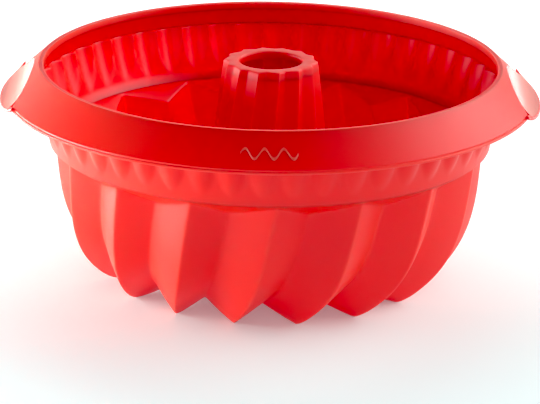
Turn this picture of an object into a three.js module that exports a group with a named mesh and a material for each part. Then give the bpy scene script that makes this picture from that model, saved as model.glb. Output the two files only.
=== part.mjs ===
// A silicone bundt pan: one moulding, drawn zone by zone. Millimetres, +Z up.
// The origin is on the pan's axis, on the surface that its feet stand on; the handles lie on +X and -X,
// and angles run from the front (-Y) towards +X.
import * as THREE from "three";
import { mergeVertices } from "three/addons/utils/BufferGeometryUtils.js";

// Overall sizes.
const panHeight = 110; // feet to the top of the lip
const rimRadius = 115; // outside of the lip
const wall = 2; // thickness of the moulding
const gap = 0.3; // clearance between zones that meet side by side
const rimStep = 3; // degrees between the columns of the round zones

// Rim: a narrow lip with a sloping skirt hanging outside it.
const lipWidth = 2.3;
const lipDepth = 3.4; // height of the lip, which is also the skirt's upright thickness at its root
const skirtReach = 16.4; // how far the skirt stands out from the lip
const skirtDrop = 15;
const skirtEdgeThickness = 1.5; // measured upright; at its root the skirt is as thick as the lip

// Plain band and scalloped band under the lip.
const plainBandHeight = 12;
const bandFlare = 3.8; // the plain band widens this much downwards
const scallopCount = 48;
const scallopDepth = 3;
const scallopFade = 0.83; // share of the scalloped band over which the scallops run out
const ledgeProud = 0.2; // how far the ledge over the scallops stands out from the plain band

// Shoulder, where the band turns in to the ridges.
const shoulderIn = 5; // how far the shoulder lies inside the rim
const shoulderRadius = rimRadius - shoulderIn;
const shoulderDrop = 39; // lip down to the shoulder
const ledgeSlope = 0.65;

// Sixteen slanting ridges, from the shoulder to the feet.
const ridgeCount = 16;
const ridgeTopIn = 3; // how far the crests begin inside the shoulder
const ridgeTopRadius = shoulderRadius - ridgeTopIn;
const ridgeDepth = 9.6;
const ridgeSlant = 7; // degrees that a ridge turns evenly on its way down
const ridgeSweep = 7; // degrees more that it turns, mostly close to the foot
const ridgeSweepPower = 5;
const crownTurn = 5; // degrees more that a ridge turns across the crown
const ridgePhase = 2.2; // degrees from the front to the nearest crest
const wideShare = 0.59; // share of a ridge's pitch that its wide facet takes
const valleyFlat = 1.3; // half of the flat of a valley, in degrees
const crestFlat = 0.7; // half of the flat of a crest, in degrees
const footRadius = 79.5;
const footLength = 5; // flat part of each crest that the pan stands on
const valleyFootIn = 0.8; // how far a valley's foot lies inside a crest's, as a share of the ridge's depth
const valleyInnerIn = 0.6; // the same at the inner edge of the feet
const bowlLean = 0.2; // share of the wall's taper that is straight
const bowlPower = 3.9; // how square the curve from wall to foot is

// Centre tube, open from end to end.
const tubeTopRadius = 23.5;
const tubeBaseRadius = 36.3;
const tubeBaseHeight = 13;
const tubeCorner = 3.5; // height of the turn from the crown up to the tube
const tubeStandsProud = 1; // height of the tube's top over the lip
const fluteCount = 14;
const fluteDepth = 2.2;
const fluteTwist = 20; // degrees from the tube's top to its base
const fluteAtTop = 11; // degrees from the front to a crest, at the top
const fluteRunOut = 0.12; // share of the tube's height over which the flutes begin at its base
const collarThickness = 4;
const holeRadius = 15.7;

// Handles: a scooped thumb rest on each side, let into the skirt.
const handleProud = 3; // how far the handle's edge stands out beyond the skirt's
const handleReach = skirtReach + handleProud;
const handleAngle = 18; // half of the angle that a handle spans
const handleTip = 1.2; // width of a handle's two tips beyond the skirt
const handleThickness = 1.8;
const scoopStart = 2.6; // where the scoop leaves the skirt, outside the lip
const scoopFall = 15; // height of the scoop, from there to the handle's edge
const scoopCurve = 2.2; // how soon the scoop flattens

// Raised wave on the front of the skirt.
const waveWidth = 27;
const waveHeight = 4;
const waveCount = 3;
const waveRib = 1.1;
const waveRelief = 0.6;
const waveLift = 0.05; // clearance under the wave
const wavePlace = 0.56; // share of the skirt's width, from the lip outwards

const silicone = { color: 0xe0242b, roughness: 0.42, metalness: 0 };
const polished = { color: 0xf6b4a8, roughness: 0.12, metalness: 0 };

const rad = THREE.MathUtils.degToRad;
const lerp = THREE.MathUtils.lerp;
const clamp = THREE.MathUtils.clamp;
const v2 = (x, y) => new THREE.Vector2(x, y);
const pan = new THREE.Group();

// A point at a radius, an angle in degrees from the front, and a height.
function polar(radius, angle, z) {
  return new THREE.Vector3(
    radius * Math.sin(rad(angle)),
    -radius * Math.cos(rad(angle)),
    z,
  );
}

// A closed skin over two grids of points, front[row][column] and back[row][column].
// Where loop is true the columns run all the way round, so only the first and last rows need a rim.
function closedSkin(front, back, loop) {
  const rows = front.length;
  const columns = front[0].length;
  const points = [...front.flat(), ...back.flat()];
  const at = (side, row, column) =>
    side * rows * columns + row * columns + (column % columns);
  const index = [];
  const quad = (a, b, c, d) => index.push(a, b, c, a, c, d);
  const spans = loop ? columns : columns - 1;
  for (let r = 0; r < rows - 1; r++) {
    for (let c = 0; c < spans; c++) {
      quad(at(0, r, c), at(0, r, c + 1), at(0, r + 1, c + 1), at(0, r + 1, c));
      quad(at(1, r, c), at(1, r + 1, c), at(1, r + 1, c + 1), at(1, r, c + 1));
    }
  }
  for (let c = 0; c < spans; c++) {
    const last = rows - 1;
    quad(at(0, 0, c), at(1, 0, c), at(1, 0, c + 1), at(0, 0, c + 1));
    quad(at(0, last, c), at(0, last, c + 1), at(1, last, c + 1), at(1, last, c));
  }
  for (let r = 0; r < rows - 1 && !loop; r++) {
    const last = columns - 1;
    quad(at(0, r, 0), at(0, r + 1, 0), at(1, r + 1, 0), at(1, r, 0));
    quad(at(0, r, last), at(1, r, last), at(1, r + 1, last), at(0, r + 1, last));
  }
  if (signedVolume(points, index) < 0) index.reverse();
  const geometry = new THREE.BufferGeometry().setFromPoints(points);
  geometry.setIndex(index);
  return mergeVertices(geometry, 1e-4);
}

function signedVolume(points, index) {
  let sum = 0;
  for (let i = 0; i < index.length; i += 3) {
    const [a, b, c] = index.slice(i, i + 3).map((k) => points[k]);
    sum += a.dot(b.clone().cross(c));
  }
  return sum / 6;
}

// The name is the node's name; finish is one of the two material descriptions above.
function add(name, geometry, finish = silicone) {
  geometry.computeVertexNormals();
  const mesh = new THREE.Mesh(geometry, new THREE.MeshStandardMaterial(finish));
  mesh.name = name;
  pan.add(mesh);
}

// A ring turned from a closed outline of (radius, height) points.
function turnedRing(outline) {
  const ring = new THREE.LatheGeometry([...outline, outline[0]], 360 / rimStep);
  ring.rotateX(Math.PI / 2);
  ring.deleteAttribute("normal");
  ring.deleteAttribute("uv");
  return mergeVertices(ring, 1e-4);
}

// Heights and radii that several zones share.
const shoulderHeight = panHeight - shoulderDrop;
const plainBottom = panHeight - plainBandHeight;
const skirtEdge = rimRadius + skirtReach;
const ledgeWall = wall * Math.hypot(1, ledgeSlope); // the wall's upright thickness on the ledge
const shoulderInside = shoulderRadius - ledgeWall / ledgeSlope;
const lipInside = rimRadius - lipWidth;
const bandInside = lipInside + bandFlare;
const bandOutside = bandInside + wall;
const cuspTop = bandOutside - scallopDepth;
const tubeTop = panHeight + tubeStandsProud;

function makeLip() {
  const top = panHeight;
  const bottom = panHeight - lipDepth;
  add("rim_lip", turnedRing([
    v2(lipInside, top),
    v2(lipInside, bottom),
    v2(rimRadius, bottom),
    v2(rimRadius, top),
  ]));
}

function makePlainBand() {
  const top = panHeight - lipDepth;
  add("upper_wall", turnedRing([
    v2(lipInside, top),
    v2(bandInside, plainBottom),
    v2(bandOutside, plainBottom),
    v2(rimRadius, top),
  ]));
}

// Shares of the way down the scalloped band, below its ledge, at which it has rows.
const scallopShares = [0, 0.4, 0.75, 1];

// The scalloped band: bulges divided by cusps, which shrink to round tongues on the conical wall.
function makeScallopedBand() {
  const perScallop = 3;
  const columns = scallopCount * perScallop;
  const ledgeBottom = plainBottom - wall;
  const bandHeight = plainBottom - shoulderHeight;
  const bulge = (column, height) => {
    const across = (column % perScallop) / perScallop; // 0 at a cusp, 0.5 at the middle of a bulge
    const down = Math.min(1, (plainBottom - height) / (bandHeight * scallopFade));
    return scallopDepth * Math.max(0, 1 - (2 * across - 1) ** 2 - down ** 2);
  };
  const cone = (height) => lerp(shoulderRadius, cuspTop, (height - shoulderHeight) / bandHeight);
  const outside = (column, height) => cone(height) + bulge(column, height);
  const inside = (column, height) => outside(column, height) - wall;
  const row = (height, radiusAt) =>
    Array.from({ length: columns }, (_, c) =>
      polar(radiusAt(c, height), ridgePhase + (360 * c) / columns, height),
    );
  const heights = scallopShares.map((share) =>
    lerp(ledgeBottom, shoulderHeight + wall / 2, share),
  );
  const front = [
    row(plainBottom, () => bandOutside + ledgeProud),
    row(ledgeBottom, () => bandOutside + ledgeProud),
    ...heights.map((height) => row(height, outside)),
    row(shoulderHeight, () => shoulderRadius),
  ];
  const back = [
    row(plainBottom, inside),
    row(plainBottom - wall / 2, inside),
    ...heights.map((height) => row(height, inside)),
    row(shoulderHeight, () => shoulderInside),
  ];
  add("scalloped_wall", closedSkin(front, back, true));
}

// Shares of the way up the side of the bowl, and of the way in across its crown, at which it has rows.
const sideShares = [1, 0.8, 0.6, 0.42, 0.28, 0.17, 0.07, 0];
const crownShares = [0, 0.35, 0.7, 0.92];

// Radius and height down the side of the bowl and in to the tube, for a crest or a valley.
function bowlOutline(top, foot, inner, end) {
  const side = sideShares.map((share) => {
    const curve = bowlLean * share + (1 - bowlLean) * (1 - (1 - share) ** bowlPower);
    return v2(lerp(foot.x, top.x, curve), lerp(foot.y, top.y, share));
  });
  const rise = end.y - tubeCorner - inner.y;
  const crown = crownShares.map((share) =>
    v2(lerp(inner.x, end.x + tubeCorner / 4, share), inner.y + rise * share ** 2),
  );
  return [...side, ...crown, end];
}

// The ledge under the shoulder, as a height for a radius.
function ledgeHeight(radius) {
  return shoulderHeight - ledgeSlope * (shoulderRadius - radius);
}

// Degrees by which the ridges have turned at each row of an outline.
function ridgeTurns() {
  const side = sideShares.map((share) =>
    -ridgeSlant * (1 - share) - ridgeSweep * (1 - share) ** ridgeSweepPower,
  );
  const foot = -ridgeSlant - ridgeSweep;
  return [...side, ...[...crownShares, 1].map((share) => foot - crownTurn * share)];
}

// The columns of one ridge: degrees from its crest, and how deep towards the valley each one lies.
function ridgeColumns() {
  const pitch = 360 / ridgeCount;
  const behind = -pitch * wideShare + valleyFlat;
  const ahead = pitch * (1 - wideShare) - valleyFlat;
  return [
    { turn: behind, depth: 1 },
    { turn: (behind - crestFlat) / 2, depth: 0.5 },
    { turn: -crestFlat, depth: 0 },
    { turn: crestFlat, depth: 0 },
    { turn: (ahead + crestFlat) / 2, depth: 0.5 },
    { turn: ahead, depth: 1 },
  ];
}

// The ridged wall and the crown under it are one surface, parted at the inner edge of the feet.
function makeRidgedWallAndCrown() {
  const skin = (depth, inward) => {
    const topRadius = ridgeTopRadius - depth - inward;
    const topHeight = ledgeHeight(topRadius) + (inward ? ledgeWall : 0);
    return bowlOutline(
      v2(topRadius, topHeight),
      v2(footRadius - valleyFootIn * depth - inward / 2, depth + inward),
      v2(footRadius - footLength - valleyInnerIn * depth, depth + inward),
      v2(tubeBaseRadius - wall + inward, tubeBaseHeight),
    );
  };
  const turns = ridgeTurns();
  const ring = (pointAt, turned) => {
    const points = [];
    for (let k = 0; k < ridgeCount; k++) {
      for (const { turn, depth } of ridgeColumns()) {
        const p = pointAt(depth);
        points.push(polar(p.x, ridgePhase + (360 * k) / ridgeCount + turn + turned, p.y));
      }
    }
    return points;
  };
  const grid = (inward, shoulder) => {
    const high = skin(0, inward);
    const low = skin(ridgeDepth, inward);
    const rows = high.map((p, i) => ring((depth) => p.clone().lerp(low[i], depth), turns[i]));
    return [ring(() => v2(shoulder, shoulderHeight), 0), ...rows];
  };
  const front = grid(0, shoulderRadius);
  const back = grid(wall, shoulderInside);
  const split = sideShares.length + 2; // the rows from the shoulder to the inner edge of the feet
  add("ridged_wall", closedSkin(front.slice(0, split), back.slice(0, split), true));
  add("base_crown", closedSkin(front.slice(split - 1), back.slice(split - 1), true));
}

// Columns round the tube: a flute falls quickly on one side of its crest and slowly on the other.
const fluteShape = [0, 0.6, 1, 0.66, 0.33];
const fluteColumns = fluteCount * fluteShape.length;

function fluteRing(radiusAt, height) {
  const share = (height - tubeBaseHeight) / (tubeTop - tubeBaseHeight);
  const turned = fluteAtTop - fluteTwist * (1 - share);
  return Array.from({ length: fluteColumns }, (_, c) =>
    polar(radiusAt(fluteShape[c % fluteShape.length]), turned + (360 * c) / fluteColumns, height),
  );
}

function makeTube() {
  const collarBottom = tubeTop - collarThickness;
  const rows = (inward) =>
    [0, fluteRunOut, (1 + fluteRunOut) / 2, 1].map((share) => {
      const height = lerp(tubeBaseHeight, collarBottom, share);
      const taper = (height - tubeBaseHeight) / (tubeTop - tubeBaseHeight);
      const radius = lerp(tubeBaseRadius, tubeTopRadius, taper) - inward;
      const depth = fluteDepth * Math.min(1, share / fluteRunOut);
      return fluteRing((shape) => radius - depth * shape, height);
    });
  add("centre_tube", closedSkin(rows(0), rows(wall), true));
  const outside = (shape) => tubeTopRadius - fluteDepth * shape;
  const hole = () => holeRadius;
  add("tube_collar", closedSkin(
    [fluteRing(outside, collarBottom), fluteRing(outside, tubeTop)],
    [fluteRing(hole, collarBottom), fluteRing(hole, tubeTop)],
    true,
  ));
}

// The skirt's outer face, as a height for a radius.
function skirtHeight(radius) {
  return panHeight - (skirtDrop * (radius - rimRadius)) / skirtReach;
}

// A thumb rest's face, as a height for a distance along X: steep where it leaves the skirt, then flatter.
function scoopHeight(x) {
  const start = rimRadius + scoopStart;
  const share = clamp((x - start) / (handleReach - scoopStart), 0, 1);
  return skirtHeight(start) - scoopFall * (1 - (1 - share) ** scoopCurve);
}

// The radius of the crease between skirt and thumb rest, for degrees from the handle's middle.
function creaseRadius(turn) {
  let low = rimRadius + scoopStart;
  let high = skirtEdge;
  for (let i = 0; i < 30; i++) {
    const radius = (low + high) / 2;
    if (skirtHeight(radius) > scoopHeight(radius * Math.cos(rad(turn)))) high = radius;
    else low = radius;
  }
  return Math.abs(turn) < handleAngle ? high : skirtEdge;
}

function makeSkirt() {
  const angles = Array.from({ length: 360 / rimStep }, (_, c) => c * rimStep);
  const fromHandle = (angle) => ((angle + 360) % 180) - 90;
  const edge = (angle) => {
    const crease = creaseRadius(fromHandle(angle));
    return crease < skirtEdge ? crease - gap : skirtEdge;
  };
  const lay = (share, below) =>
    angles.map((angle) => {
      const radius = lerp(rimRadius, edge(angle), share);
      return polar(radius, angle, skirtHeight(radius) - below);
    });
  add("rim_skirt", closedSkin(
    [lay(0, 0), lay(1, 0)],
    [lay(0, lipDepth), lay(1, skirtEdgeThickness)],
    true,
  ));
}

// A thumb rest: a lens-shaped plate from the crease out to a shallow arc beyond the skirt's edge.
function makeHandle(name, middle) {
  const columns = Math.round((2 * handleAngle) / rimStep);
  const turns = Array.from({ length: columns + 1 }, (_, i) => (2 * i / columns - 1) * handleAngle);
  const outer = (turn) => {
    const bow = 1 - (turn / handleAngle) ** 4;
    return lerp(skirtEdge + handleTip, rimRadius + handleReach, bow);
  };
  const lay = (share, below) =>
    turns.map((turn) => {
      const radius = lerp(creaseRadius(turn) + gap, outer(turn), share);
      return polar(radius, middle + turn, scoopHeight(radius * Math.cos(rad(turn))) - below);
    });
  const shares = [0, 0.33, 0.66, 1]; // of the way out from the crease
  add(name, closedSkin(
    shares.map((share) => lay(share, 0)),
    shares.map((share) => lay(share, handleThickness)),
    false,
  ), polished);
}

// A plain raised wave on the skirt's front.
function makeWave() {
  const middle = rimRadius + skirtReach * wavePlace;
  const steps = waveCount * 12;
  const lay = (side, above) =>
    Array.from({ length: steps + 1 }, (_, i) => {
      const along = i / steps - 0.5;
      const swing = (waveHeight / 2) * Math.sin(2 * Math.PI * waveCount * along);
      const radius = middle + swing + (side * waveRib) / 2;
      const angle = THREE.MathUtils.radToDeg((along * waveWidth) / middle);
      return polar(radius, angle, skirtHeight(radius) + above);
    });
  add("rim_wave", closedSkin(
    [lay(-1, waveRelief), lay(1, waveRelief)],
    [lay(-1, waveLift), lay(1, waveLift)],
    false,
  ));
}

makeLip();
makeSkirt();
makeHandle("left_handle", -90);
makeHandle("right_handle", 90);
makeWave();
makePlainBand();
makeScallopedBand();
makeRidgedWallAndCrown();
makeTube();

export default pan;
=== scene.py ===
# A bundt pan moulded in one piece from red silicone: rim, skirt with two thumb rests, plain band,
# scalloped band, slanting ridges, crown and fluted tube. Lengths in the sections are millimetres and angles
# are degrees from the front (-Y) towards +X; the meshes come out in metres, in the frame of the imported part.
import math

import bmesh
import bpy
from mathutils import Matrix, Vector


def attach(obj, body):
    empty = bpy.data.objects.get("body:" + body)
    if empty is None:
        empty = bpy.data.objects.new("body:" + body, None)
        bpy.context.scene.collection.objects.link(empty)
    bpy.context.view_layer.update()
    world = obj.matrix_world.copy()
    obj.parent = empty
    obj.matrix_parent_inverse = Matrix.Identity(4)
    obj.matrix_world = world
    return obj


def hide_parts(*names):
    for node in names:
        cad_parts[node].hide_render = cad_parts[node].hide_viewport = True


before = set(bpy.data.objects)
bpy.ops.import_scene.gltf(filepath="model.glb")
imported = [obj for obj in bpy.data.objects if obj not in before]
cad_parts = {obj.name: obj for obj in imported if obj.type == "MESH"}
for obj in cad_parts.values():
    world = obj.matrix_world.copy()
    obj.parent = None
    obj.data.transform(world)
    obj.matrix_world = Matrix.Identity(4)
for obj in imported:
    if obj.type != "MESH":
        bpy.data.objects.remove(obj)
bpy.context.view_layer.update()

# ------------------------------------------------------------------ camera
# A long lens a metre and a half in front of the pan, looking down on it and rolled by a degree.
camera_data = bpy.data.cameras.new("camera")
camera_data.sensor_width = 36
camera_data.lens = 215.9
camera = bpy.data.objects.new("camera", camera_data)
bpy.context.scene.collection.objects.link(camera)
camera_pitch = 18.62
camera_roll = 0.90
camera.location = (0.0007, -1.5466, 0.5576)
camera.rotation_euler = (math.radians(90 - camera_pitch), 0, 0)
camera.rotation_euler.rotate_axis("Z", math.radians(camera_roll))
bpy.context.scene.camera = camera

# ------------------------------------------------------------------ rim lip
# The level ring round the mouth, of the same silicone as all the rest: a flat top between two rounded
# edges, which is where the moulding is thickest and where the mould's two halves met.
mm = 0.001
rim_radius = 115
lip_width = 2.3
lip_depth = 3.4
lip_round = 0.45
lip_groove = 0.25
groove_round = 0.3
groove_half = 0.6
pan_height = 110
lip_inside = rim_radius - lip_width
lip_pale = 0.6
round_columns = 360


def softened(corners, steps=3):
    """An outline of (radius, height, cut) corners, each rounded off over that cut."""
    outline = []
    for number, (x, y, cut) in enumerate(corners):
        corner = Vector((x, y))
        if not cut:
            outline.append((x, y))
            continue
        before = Vector(corners[number - 1][:2]) - corner
        after = Vector(corners[(number + 1) % len(corners)][:2]) - corner
        start = corner + before.normalized() * cut
        end = corner + after.normalized() * cut
        for step in range(steps + 1):
            share = step / steps
            point = start.lerp(corner, share).lerp(corner.lerp(end, share), share)
            outline.append((point.x, point.y))
    return outline


def polar(radius, angle, height):
    turn = math.radians(angle)
    return Vector((radius * math.sin(turn), -radius * math.cos(turn), height)) * mm


def turned(outline, columns, place=None, pale=None):
    """A closed outline turned round the pan's axis, then moved by place(row, column) to its true section.
    pale(row, column) says how much painted highlight or painted reflection lies there, from 0 to 1."""
    mesh = bmesh.new()
    row_of = mesh.verts.layers.int.new("row")
    pale_edge = mesh.verts.layers.float.new("pale_edge")
    corners = []
    for row, (radius, height) in enumerate(outline):
        corner = mesh.verts.new((0, -radius, height))
        corner[row_of] = row
        corners.append(corner)
    edges = [mesh.edges.new(pair) for pair in zip(corners, corners[1:] + corners[:1])]
    bmesh.ops.spin(mesh, geom=corners + edges, cent=(0, 0, 0), axis=(0, 0, 1), dvec=(0, 0, 0),
                   angle=math.tau, steps=columns, use_merge=True)
    for vertex in mesh.verts:
        row = vertex[row_of]
        column = round(math.atan2(vertex.co.x, -vertex.co.y) * columns / math.tau) % columns
        vertex.co = polar(*place(row, column)) if place else vertex.co * mm
        vertex[pale_edge] = pale(row, column) if pale else 0
    bmesh.ops.recalc_face_normals(mesh, faces=mesh.faces)
    return mesh


sharp_angle = 38


def piece(name, mesh, finish):
    """The finished piece: smooth, in its material, riding with the pan in place of the CAD node."""
    data = bpy.data.meshes.new(name)
    mesh.to_mesh(data)
    mesh.free()
    data.shade_smooth()
    data.set_sharp_from_angle(angle=math.radians(sharp_angle))
    data.materials.append(finish)
    made = bpy.data.objects.new(name, data)
    bpy.context.scene.collection.objects.link(made)
    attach(made, "root")
    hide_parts(name)
    return made


# Satin silicone: a clear strong red, a little translucent, with a fine even grain from the mould and faint
# cloudiness in the colour and gloss. The pale_edge mark turns it paler: painted highlights on rounded edges,
# crests, cusps and ribs, a painted reflection on the tube's level top, and the wave ornament pale all over.
cloud_scale = 38
gloss_swing = 0.05
grain_scale = 2200
grain_height = 0.0001
scatter_reach = (1.0, 0.08, 0.05)
scatter_scale = 0.0022
silicone_ior = 1.5


def silicone(name, colour, pale_colour, cloudy_colour, roughness, depth, grain):
    finish = bpy.data.materials.new(name)
    finish.use_nodes = True
    nodes = finish.node_tree.nodes
    link = finish.node_tree.links.new
    shader = nodes["Principled BSDF"]
    place = nodes.new("ShaderNodeTexCoord").outputs["Object"]
    clouds = nodes.new("ShaderNodeTexNoise")
    clouds.inputs["Scale"].default_value = cloud_scale
    clouds.inputs["Detail"].default_value = 5
    clouds.inputs["Roughness"].default_value = 0.55
    link(place, clouds.inputs["Vector"])
    tint = nodes.new("ShaderNodeMix")
    tint.data_type = "RGBA"
    tint.inputs["A"].default_value = (*colour, 1)
    tint.inputs["B"].default_value = (*cloudy_colour, 1)
    link(clouds.outputs["Fac"], tint.inputs["Factor"])
    # The pale_edge mark mixes in the pale colour: painted highlights and painted reflection on the satin, and
    # on the thumb rests the redder edge where their painted reflection stops.
    painted_pale_mask = nodes.new("ShaderNodeAttribute")
    painted_pale_mask.attribute_name = "pale_edge"
    edge = nodes.new("ShaderNodeMix")
    edge.data_type = "RGBA"
    edge.inputs["B"].default_value = (*pale_colour, 1)
    link(painted_pale_mask.outputs["Fac"], edge.inputs["Factor"])
    link(tint.outputs["Result"], edge.inputs["A"])
    link(edge.outputs["Result"], shader.inputs["Base Color"])
    gloss = nodes.new("ShaderNodeMapRange")
    gloss.inputs["To Min"].default_value = roughness - gloss_swing
    gloss.inputs["To Max"].default_value = roughness + gloss_swing
    link(clouds.outputs["Fac"], gloss.inputs["Value"])
    link(gloss.outputs["Result"], shader.inputs["Roughness"])
    fine = nodes.new("ShaderNodeTexNoise")
    fine.inputs["Scale"].default_value = grain_scale
    fine.inputs["Detail"].default_value = 3
    link(place, fine.inputs["Vector"])
    bump = nodes.new("ShaderNodeBump")
    bump.inputs["Strength"].default_value = grain
    bump.inputs["Distance"].default_value = grain_height
    link(fine.outputs["Fac"], bump.inputs["Height"])
    link(bump.outputs["Normal"], shader.inputs["Normal"])
    shader.inputs["Subsurface Weight"].default_value = depth
    shader.inputs["Subsurface Radius"].default_value = scatter_reach
    shader.inputs["Subsurface Scale"].default_value = scatter_scale
    shader.inputs["IOR"].default_value = silicone_ior
    return finish


# The satin's pale colour is the painted highlight colour.
satin = silicone("silicone_satin", colour=(0.88, 0.055, 0.018), pale_colour=(0.95, 0.15, 0.08),
                 cloudy_colour=(0.85, 0.050, 0.016), roughness=0.42, depth=1.0, grain=0.25)

lip_outline = softened([
    (lip_inside, pan_height, lip_round),
    (lip_inside, pan_height - lip_depth, 0),
    (rim_radius, pan_height - lip_depth, 0),
    (rim_radius, pan_height, lip_round),
    (rim_radius - lip_width / 2, pan_height - lip_groove, groove_round),
])


# The two rounded edges of the top are painted pale: painted highlights along them.
def lip_painted_highlight(row, column):
    radius, height = lip_outline[row]
    from_middle = abs(radius - rim_radius + lip_width / 2)
    return lip_pale if height > pan_height - 0.5 and from_middle > groove_half else 0


piece("rim_lip", turned(lip_outline, round_columns, pale=lip_painted_highlight), satin)

# ------------------------------------------------------------------ rim skirt
# The stiff skirt that slopes down all round outside the lip. Its free edge is a thin rounded bead, and
# on each side a thumb rest is let into it, where its edge follows the crease.
skirt_reach = 16.4
skirt_drop = 15
skirt_edge_thickness = 1.5
skirt_edge = rim_radius + skirt_reach
handle_angle = 18
handle_reach = 19.4
scoop_start = 2.6
scoop_fall = 15
scoop_curve = 2.2
skirt_pale = 0.3


def skirt_height(radius):
    return pan_height - skirt_drop * (radius - rim_radius) / skirt_reach


def scoop_height(x):
    share = min(1, max(0, (x - rim_radius - scoop_start) / (handle_reach - scoop_start)))
    return skirt_height(rim_radius + scoop_start) - scoop_fall * (1 - (1 - share) ** scoop_curve)


def crease_radius(turn):
    """Where skirt and thumb rest meet, for degrees from the handle's middle."""
    if abs(turn) >= handle_angle:
        return skirt_edge
    low, high = rim_radius + scoop_start, skirt_edge
    for _ in range(30):
        radius = (low + high) / 2
        if skirt_height(radius) > scoop_height(radius * math.cos(math.radians(turn))):
            high = radius
        else:
            low = radius
    return high


bead = skirt_edge_thickness / 2
bead_turns = [math.pi / 8 * step for step in range(5)]
# Each row: share of the way out, how far the bead's rounding sets it back, how far it is under the top.
skirt_shares = [0, 0.1, 0.25, 0.4, 0.55, 0.7, 0.85, 0.95]
skirt_rows = [(share, 0, 0) for share in skirt_shares]
skirt_rows += [(1, bead * (1 - math.sin(turn)), bead * (1 - math.cos(turn))) for turn in bead_turns]
skirt_rows += [(1, bead * (1 - math.sin(turn)), skirt_edge_thickness - bead * (1 - math.cos(turn)))
               for turn in reversed(bead_turns[:-1])]
skirt_rows += [(share, 0, lip_depth + (skirt_edge_thickness - lip_depth) * share)
               for share in reversed(skirt_shares)]


def place_skirt(row, column):
    angle = column * 360 / round_columns
    share, back, below = skirt_rows[row]
    edge = crease_radius((angle % 180) - 90)
    radius = rim_radius + (edge - rim_radius) * share - back
    return radius, angle, skirt_height(radius + back) - below


skirt_outline = []
for share, back, below in skirt_rows:
    full_radius = rim_radius + skirt_reach * share
    skirt_outline.append((full_radius - back, skirt_height(full_radius) - below))


# The rounded bead of the free edge is painted paler: a painted highlight along it.
def skirt_painted_highlight(row, column):
    return skirt_pale if skirt_rows[row][0] == 1 else 0


piece("rim_skirt", turned(skirt_outline, round_columns, place_skirt, skirt_painted_highlight), satin)

# ------------------------------------------------------------------ rim wave
# A plain ornament in low relief at the front of the skirt, cut into the mould as one wavy groove.
wave_width = 27
wave_height = 4
wave_count = 3
wave_rib = 1.1
wave_relief = 0.6
wave_place = 0.56
wave_sink = 0.05
wave_root = 0.6
wave_taper = 60


def slab(along, across):
    """A flat unit slab: x and y from -0.5 to 0.5, top at 0 and underside at -1."""
    mesh = bmesh.new()
    bmesh.ops.create_grid(mesh, x_segments=along, y_segments=across, size=0.5)
    made = bmesh.ops.extrude_face_region(mesh, geom=mesh.faces[:])
    lower = [v for v in made["geom"] if isinstance(v, bmesh.types.BMVert)]
    bmesh.ops.translate(mesh, verts=lower, vec=(0, 0, -1))
    return mesh


wave = slab(along=120, across=6)
pale_edge = wave.verts.layers.float.new("pale_edge")
wave_middle = rim_radius + skirt_reach * wave_place
for vertex in wave.verts:
    swing = wave_height / 2 * math.sin(math.tau * wave_count * vertex.co.x)
    radius = wave_middle + swing + vertex.co.y * wave_rib
    crown = math.sqrt(max(0, 1 - (2 * vertex.co.y) ** 2) * min(1, (0.5 - abs(vertex.co.x)) * wave_taper))
    above = wave_relief * crown - wave_sink if vertex.co.z > -0.5 else -wave_root
    vertex[pale_edge] = 1
    turn = math.degrees(vertex.co.x * wave_width / wave_middle)
    vertex.co = polar(radius, turn, skirt_height(radius) + above)
bmesh.ops.recalc_face_normals(wave, faces=wave.faces)
piece("rim_wave", wave, satin)

# ------------------------------------------------------------------ thumb rests
# On each side the skirt dips into a shallow scoop that takes the thumb. The mould is polished there, so the
# same silicone comes out glossy; its face is painted paler as a painted reflection of the white room, with a
# redder edge along the crease and the tip, where the painted reflection stops.
handle_tip = 1.2
handle_thickness = 1.8
handle_round = 0.8
crease_round = 0.35
least_width = 0.2
tip_edge = 1.2
crease_edge = 0.9
crease_fade = 0.35
# The thumb rests' colour is paler than the satin red: a painted reflection on the glossy face. Their pale
# colour is the redder edge.
polished_painted_reflection = silicone("silicone_polished", colour=(0.80, 0.24, 0.17), pale_colour=(0.80, 0.07, 0.04),
                    cloudy_colour=(0.78, 0.24, 0.175), roughness=0.24, depth=0.4, grain=0.04)


def handle_outer(turn):
    swell = handle_reach - skirt_reach - handle_tip
    return skirt_edge + handle_tip + swell * (1 - (turn / handle_angle) ** 4)


def edge_drop(distance, radius):
    """How far a rounded edge has fallen away, at a distance in from it."""
    missing = max(0, 1 - distance / radius)
    return radius * (1 - math.sqrt(max(0, 1 - missing * missing)))


for name, middle in (("left_handle", -90), ("right_handle", 90)):
    rest = slab(along=72, across=28)
    pale_edge = rest.verts.layers.float.new("pale_edge")
    for vertex in rest.verts:
        turn = 2 * handle_angle * vertex.co.x
        share = 0.5 - 0.5 * math.cos(math.pi * (vertex.co.y + 0.5))
        inner = crease_radius(turn)
        outer = max(handle_outer(turn), inner + least_width)
        radius = inner + (outer - inner) * share
        drop = edge_drop(outer - radius, min(handle_round, (outer - inner) / 2))
        drop += edge_drop(radius - inner, min(crease_round, (outer - inner) / 4))
        height = scoop_height(radius * math.cos(math.radians(turn)))
        height += -drop if vertex.co.z > -0.5 else drop - handle_thickness
        # Along the tip and the crease the painted reflection gives way to the redder edge colour.
        at_tip = max(0, tip_edge - (outer - radius))
        at_crease = max(0, crease_edge - crease_fade * (radius - inner))
        vertex[pale_edge] = min(1, at_tip + at_crease)
        vertex.co = polar(radius, middle + turn, height)
    bmesh.ops.recalc_face_normals(rest, faces=rest.faces)
    piece(name, rest, polished_painted_reflection)

# ------------------------------------------------------------------ plain band
# The upper wall: a plain smooth band that flares a little on its way down from the lip, and ends at the
# ledge over the scallops.
wall = 2
band_height = 12
band_flare = 3.8
band_inside = lip_inside + band_flare
band_outside = band_inside + wall
band_bottom = pan_height - band_height

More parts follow.
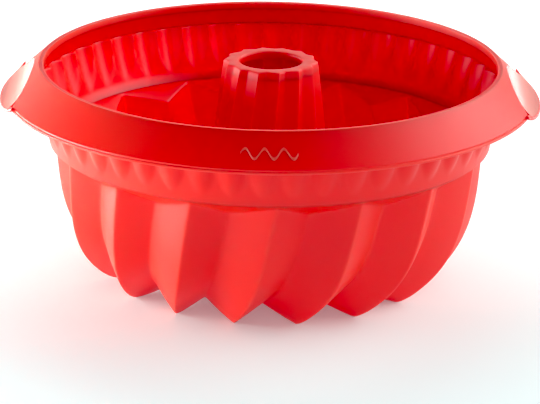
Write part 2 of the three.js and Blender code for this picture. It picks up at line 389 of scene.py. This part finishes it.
band_shares = [0, 0.25, 0.5, 0.75, 1]
band_top = pan_height - lip_depth
band_outline = [(lip_inside + (band_inside - lip_inside) * s, band_top + (band_bottom - band_top) * s)
                for s in band_shares]
band_outline += [(rim_radius + (band_outside - rim_radius) * s, band_top + (band_bottom - band_top) * s)
                 for s in reversed(band_shares)]
piece("upper_wall", turned(band_outline, round_columns), satin)

# ------------------------------------------------------------------ scalloped band
# Forty-eight shallow bulges side by side, sharp where two meet, that run out downwards in round tongues
# on a smooth cone. Inside they leave a narrow ledge under the plain band.
scallop_count = 48
scallop_depth = 3
scallop_fade = 0.83
scallop_soft = 0.0015
cusp_pale = 0.35
cusp_fade = 0.3
ledge_overhang = 0.2
per_scallop = 12
shoulder_radius = 110
shoulder_height = pan_height - 39
ledge_slope = 0.65
ledge_wall = wall * math.hypot(1, ledge_slope)
shoulder_inside = shoulder_radius - ledge_wall / ledge_slope
cusp_top = band_outside - scallop_depth
ridge_phase = 2.2
scallop_drop = band_bottom - shoulder_height


def scallop_bulge(column, height):
    across = (column % per_scallop) / per_scallop
    down = min(1, (band_bottom - height) / (scallop_drop * scallop_fade))
    swell = 1 - (2 * across - 1) ** 2 - down ** 2
    return scallop_depth * (swell + math.sqrt(swell * swell + scallop_soft)) / 2


def cone_radius(height):
    return shoulder_radius + (cusp_top - shoulder_radius) * (height - shoulder_height) / scallop_drop


ledge_round = 0.4
scallop_steps = 22
scallop_step = scallop_drop / scallop_steps
# Each row: height, wall taken off the radius or a place of its own, how far the rounding sets it back.
scallop_rows = [(band_bottom, "ledge", 0)]
scallop_rows += [(band_bottom - step * scallop_step, 0, 0) for step in range(1, scallop_steps)]
scallop_rows += [(shoulder_height, 0, 0), (shoulder_height, "inside", 0)]
scallop_rows += [(shoulder_height + step * scallop_step, wall, 0) for step in range(1, scallop_steps)]
scallop_rows += [(band_bottom - ledge_round, wall, 0),
                 (band_bottom - ledge_round * 0.3, wall, -ledge_round * 0.3),
                 (band_bottom, wall, -ledge_round)]


def place_scallop(row, column):
    height, inward, back = scallop_rows[row]
    angle = ridge_phase + column * 360 / (scallop_count * per_scallop)
    if inward == "ledge":
        radius = band_outside + ledge_overhang
    elif inward == "inside":
        radius = shoulder_inside
    else:
        radius = cone_radius(height) + scallop_bulge(column, height) - inward - back
        if inward:
            lower = (height - shoulder_height) / (2 * wall)
            radius += (shoulder_inside - shoulder_radius + wall) * max(0, 1 - lower)
    return radius, angle, height


def first_place(rows, place):
    """The section at the first column, as (radius, height) points."""
    return [place(row, 0)[::2] for row in range(len(rows))]


# The cusp lines are painted paler towards the top, fading out downwards: painted highlights along the sharp
# cusps.
def cusp_painted_highlight(row, column):
    from_cusp = min(column % per_scallop, -column % per_scallop)
    height = scallop_rows[row][0]
    return cusp_pale * max(0, (height - shoulder_height) / scallop_drop - cusp_fade) if from_cusp == 0 else 0


scallop_outline = first_place(scallop_rows, place_scallop)
piece("scalloped_wall", turned(scallop_outline, scallop_count * per_scallop, place_scallop, cusp_painted_highlight),
      satin)

# ------------------------------------------------------------------ ridged wall
# Under the shoulder the wall breaks into sixteen slanting ridges, each with a narrow and a wide facet,
# crisp along its crest and softer in the valley. Their feet are what the pan stands on.
ridge_count = 16
ridge_pitch = 360 / ridge_count
ridge_top = 107
ridge_depth = 9.6
ridge_slant = 7
ridge_sweep = 7
ridge_sweep_power = 5
crown_turn = 5
wide_share = 0.59
wide_turn = ridge_pitch * wide_share
narrow_turn = ridge_pitch - wide_turn
foot_radius = 79.5
foot_length = 5
bowl_lean = 0.2
bowl_power = 3.9
foot_narrowing = 0.8
inner_narrowing = 0.6
side_top = 0.975
side_bottom = 0.06
side_steps = 32
top_round = 1.3
crest_pale = 0.35
crest_pale_turn = 0.7
tube_base_radius = 36.3
tube_base_height = 13
tube_corner = 3.5
# Columns of one ridge, in degrees from its crest: close together where the surface turns.
ridge_turns = [-12.6, -11.9, -11.0, -9.8, -8.2, -6.4, -4.6, -3.0, -1.8, -1.0, -0.5, -0.15,
               0.15, 0.5, 1.0, 1.8, 3.0, 4.4, 5.8, 7.0, 7.9, 8.5, 8.95, 9.25]
ridge_columns = ridge_count * len(ridge_turns)
crest_soft = 0.05
valley_soft = 0.14


def ridge_hollow(turn):
    """0 at a crest and 1 in a valley, for degrees from the crest."""
    falling, rising = -turn / wide_turn, turn / narrow_turn
    near = (falling + rising + math.hypot(falling - rising, crest_soft) - crest_soft) / 2
    beyond = (ridge_pitch - turn) / wide_turn if turn > 0 else (ridge_pitch + turn) / narrow_turn
    return max(0, (near + beyond - math.hypot(near - beyond, valley_soft)) / 2)


def ledge_height(radius):
    return shoulder_height - ledge_slope * (shoulder_radius - radius)


def curve_through(start, corner, end, shares):
    """Points on a rounded corner between two points."""
    return [start.lerp(corner, s).lerp(corner.lerp(end, s), s) for s in shares]


def bowl_section(hollow, inward):
    """Shoulder to the inner edge of the foot, for a crest (hollow 0) or a valley, outside or inside."""
    top_radius = ridge_top - hollow - inward
    top = Vector((top_radius, ledge_height(top_radius) + (ledge_wall if inward else 0)))
    foot = Vector((foot_radius - foot_narrowing * hollow - 0.5 * inward, hollow + inward))
    inner = Vector((foot_radius - foot_length - inner_narrowing * hollow, hollow + inward))
    shoulder = Vector((shoulder_inside if inward else shoulder_radius, shoulder_height))

    def side(share):
        curve = bowl_lean * share + (1 - bowl_lean) * (1 - (1 - share) ** bowl_power)
        return Vector((foot.x + (top.x - foot.x) * curve, foot.y + (top.y - foot.y) * share))

    ledge = top - shoulder
    near_top = top - ledge * min(0.5, top_round / ledge.length)
    points = [shoulder, shoulder + (near_top - shoulder) * 0.5]
    points += curve_through(near_top, top, side(side_top), [0, 0.25, 0.5, 0.75, 1])
    points += [side(side_top - (side_top - side_bottom) * step / side_steps)
               for step in range(1, side_steps + 1)]
    points += curve_through(side(side_bottom), foot, foot.lerp(inner, 0.5), [0.2, 0.4, 0.6, 0.8, 1])
    return points + [inner]


def lean_at(height):
    """Degrees by which a ridge has turned when its crest is down to a height."""
    down = 1 - height / ledge_height(ridge_top)
    return -ridge_slant * down - ridge_sweep * down ** ridge_sweep_power


crest_outside = bowl_section(0, 0)
valley_outside = bowl_section(ridge_depth, 0)
crest_inside = bowl_section(0, wall)
valley_inside = bowl_section(ridge_depth, wall)
lean = [lean_at(min(point.y, ledge_height(ridge_top))) for point in crest_outside]
# Each row: its crest point, its valley point and how far it has turned.
ridge_rows = list(zip(crest_outside, valley_outside, lean))
ridge_rows += reversed(list(zip(crest_inside, valley_inside, lean)))


def between_crests(row_of_points, column):
    """A point of the wall, between its row's crest and valley points."""
    crest, valley, turned_by = row_of_points
    ridge, place = divmod(column, len(ridge_turns))
    turn = ridge_turns[place]
    point = crest.lerp(valley, ridge_hollow(turn))
    return point.x, ridge_phase + ridge_pitch * ridge + turn + turned_by, point.y


def place_ridge(row, column):
    return between_crests(ridge_rows[row], column)


# A narrow strip along each crest is painted paler: a painted highlight on the crisp crest.
def crest_painted_highlight(row, column):
    return crest_pale * max(0, 1 - abs(ridge_turns[column % len(ridge_turns)]) / crest_pale_turn)


ridge_outline = first_place(ridge_rows, place_ridge)
piece("ridged_wall", turned(ridge_outline, ridge_columns, place_ridge, crest_painted_highlight), satin)

# ------------------------------------------------------------------ crown
# The underside between the feet and the tube, where the ridges fade out as they run in and up to it.
crown_rise = tube_base_height - tube_corner
crown_steps = 14
crown_curve_end = 0.92


def crown_section(hollow, inward):
    inner = Vector((foot_radius - foot_length - inner_narrowing * hollow, hollow + inward))
    end = Vector((tube_base_radius - wall + inward, tube_base_height))
    reach = end.x + tube_corner / 4
    shares = [step / crown_steps * crown_curve_end for step in range(crown_steps + 1)]
    points = [Vector((inner.x + (reach - inner.x) * s, inner.y + (crown_rise - inner.y) * s * s))
              for s in shares]
    return points + curve_through(points[-1], Vector((end.x, crown_rise)), end, [0.35, 0.7, 1])


crest_crown, valley_crown = crown_section(0, 0), crown_section(ridge_depth, 0)
crown_lean = [lean[-1] - crown_turn * (crest_crown[0].x - point.x) / (crest_crown[0].x - crest_crown[-1].x)
              for point in crest_crown]
crown_rows = list(zip(crest_crown, valley_crown, crown_lean))
crown_rows += reversed(list(zip(crown_section(0, wall), crown_section(ridge_depth, wall), crown_lean)))


def place_crown(row, column):
    return between_crests(crown_rows[row], column)


crown_outline = first_place(crown_rows, place_crown)
piece("base_crown", turned(crown_outline, ridge_columns, place_crown), satin)

# ------------------------------------------------------------------ centre tube
# The open tube in the middle, tapered so that the cake slides off it, with fourteen hollow flutes that
# twist on their way up between narrow rounded ribs.
tube_top = pan_height + 1
tube_top_radius = 23.5
flute_count = 14
flute_depth = 2.2
flute_twist = 20
flute_at_top = 11
flute_steep = 0.36
flute_gentle = 1 - flute_steep
flute_soft = 0.25
flute_round = 0.85
flute_run_out = 0.12
rib_pale = 0.45
rib_pale_width = 0.09
tube_steps = 26
collar_thickness = 4
hole_radius = 15.7
collar_bottom = tube_top - collar_thickness
per_flute = 16


def flute_hollow(share):
    """0 on a rib and 1 in the bottom of a flute, for a share of the pitch from the rib."""
    steep, gentle = share / flute_steep, (1 - share) / flute_gentle
    fall = (steep + gentle - math.hypot(steep - gentle, flute_soft)) / 2
    return max(0, min(1, fall)) ** flute_round


def tube_place(radius, hollow, column, height):
    """A point of the twisted tube; hollow is how much of a flute's depth there is, from 0 to 1."""
    turned_by = flute_at_top - flute_twist * (tube_top - height) / (tube_top - tube_base_height)
    depth = flute_depth * flute_hollow((column % per_flute) / per_flute)
    return radius - depth * hollow, turned_by + column * 360 / (flute_count * per_flute), height


def tube_radius(height):
    down = (tube_top - height) / (tube_top - tube_base_height)
    return tube_top_radius + (tube_base_radius - tube_top_radius) * down


tube_heights = [tube_base_height + (collar_bottom - tube_base_height) * step / tube_steps
                for step in range(tube_steps + 1)]
tube_rows = [(height, 0) for height in tube_heights]
tube_rows += [(height, wall) for height in reversed(tube_heights)]


def place_tube(row, column):
    height, inward = tube_rows[row]
    hollow = min(1, (height - tube_base_height) / (flute_run_out * (collar_bottom - tube_base_height)))
    return tube_place(tube_radius(height) - inward, hollow, column, height)


# Each rib of the tube is painted paler: a painted highlight along it.
def rib_painted_highlight(row, column):
    share = column % per_flute / per_flute
    return rib_pale * max(0, 1 - min(share, 1 - share) / rib_pale_width)


tube_columns = flute_count * per_flute
tube_outline = first_place(tube_rows, place_tube)
piece("centre_tube", turned(tube_outline, tube_columns, place_tube, rib_painted_highlight), satin)

# ------------------------------------------------------------------ tube collar
# The tube's thick flat end, level and smooth, with a round hole whose edge is softly rounded. It is
# moulded with the tube, and its outer edge follows the flutes.
collar_pale = 0.4
# Each row: radius, height, and whether it follows the flutes.
collar_rows = [(hole_radius, collar_bottom, False), (hole_radius, tube_top - 1.1, False),
               (hole_radius + 0.12, tube_top - 0.6, False), (hole_radius + 0.45, tube_top - 0.2, False),
               (hole_radius + 1.0, tube_top, False), (tube_top_radius - 1.1, tube_top, True),
               (tube_top_radius - 0.5, tube_top - 0.15, True), (tube_top_radius - 0.15, tube_top - 0.5, True),
               (tube_top_radius, tube_top - 1.1, True), (tube_radius(collar_bottom), collar_bottom, True)]


def place_collar(row, column):
    radius, height, fluted = collar_rows[row]
    return tube_place(radius, 1 if fluted else 0, column, height)


# The level top and its rounded edges are painted paler, a painted reflection of the bright room; below them
# the ribs keep their painted highlights.
def collar_painted_reflection(row, column):
    radius, height, fluted = collar_rows[row]
    if height > tube_top - 0.3:
        return collar_pale
    return rib_painted_highlight(row, column) if fluted else 0


collar_outline = first_place(collar_rows, place_collar)
piece("tube_collar", turned(collar_outline, tube_columns, place_collar, collar_painted_reflection), satin)

# ------------------------------------------------------------------ studio
# A plain pale floor, tinted a little blue-green against the red light off the pan and glowing faintly. A low
# strong light stands on the left and larger, milder ones on the right; one close to the floor behind shines
# through the thin wall, and the front and the room are dim.
floor_half = 4
floor_colour = (0.72, 0.90, 0.90, 1)
floor_glow = 0.20
room_light = 0.15
floor_mesh = bmesh.new()
bmesh.ops.create_grid(floor_mesh, x_segments=1, y_segments=1, size=floor_half)
floor_data = bpy.data.meshes.new("floor")
floor_mesh.to_mesh(floor_data)
floor_mesh.free()
floor = bpy.data.objects.new("floor", floor_data)
bpy.context.scene.collection.objects.link(floor)
floor_finish = bpy.data.materials.new("floor_pale")
floor_finish.use_nodes = True
floor_shader = floor_finish.node_tree.nodes["Principled BSDF"]
floor_shader.inputs["Base Color"].default_value = floor_colour
floor_shader.inputs["Emission Color"].default_value = (1, 1, 1, 1)
floor_shader.inputs["Emission Strength"].default_value = floor_glow
floor_shader.inputs["Roughness"].default_value = 0.6
floor_shader.inputs["Specular IOR Level"].default_value = 0.2
floor_data.materials.append(floor_finish)

# name, place, aimed at, width, height, radiance
softboxes = [
    ("left", (-0.58, 0.10, 0.10), (0, 0, 0.08), 0.75, 0.18, 18.0),
    ("right", (1.90, 0.50, 0.85), (0, 0, 0.08), 2.6, 1.5, 3.2),
    ("high_right", (1.50, 0.30, 1.50), (0, 0, 0.08), 1.4, 1.0, 2.4),
    ("back", (0, 1.3, 0.40), (0, 0, 0.08), 2.4, 0.8, 0.6),
    ("low_back", (0, 0.80, 0.08), (0, 0, 0.08), 1.6, 0.14, 9.5),
    ("high_back", (0, 1.6, 1.90), (0, 0, 0.08), 2.0, 1.2, 2.2),
    ("front", (0, -2.2, 0.80), (0, 0, 0.05), 2.6, 1.3, 1.1),
]
for name, place, aim, width, height, radiance in softboxes:
    light = bpy.data.lights.new(name, "AREA")
    light.shape = "RECTANGLE"
    light.size = width
    light.size_y = height
    light.energy = radiance * math.pi * width * height
    lamp = bpy.data.objects.new(name, light)
    lamp.location = place
    lamp.rotation_euler = (Vector(aim) - Vector(place)).to_track_quat("-Z", "Y").to_euler()
    lamp.visible_glossy = name != "low_back"  # it glows through the wall, but isn't mirrored on it
    bpy.context.scene.collection.objects.link(lamp)

world = bpy.data.worlds.new("room")
world.use_nodes = True
world.node_tree.nodes["Background"].inputs["Color"].default_value = (1, 1, 1, 1)
world.node_tree.nodes["Background"].inputs["Strength"].default_value = room_light
bpy.context.scene.world = world
# A little green and blue is held back, which keeps the shaded silicone a clear red.
view = bpy.context.scene.view_settings
view.view_transform = "Standard"
view.use_curve_mapping = True
view.curve_mapping.black_level = (0.0, 0.050, 0.024)
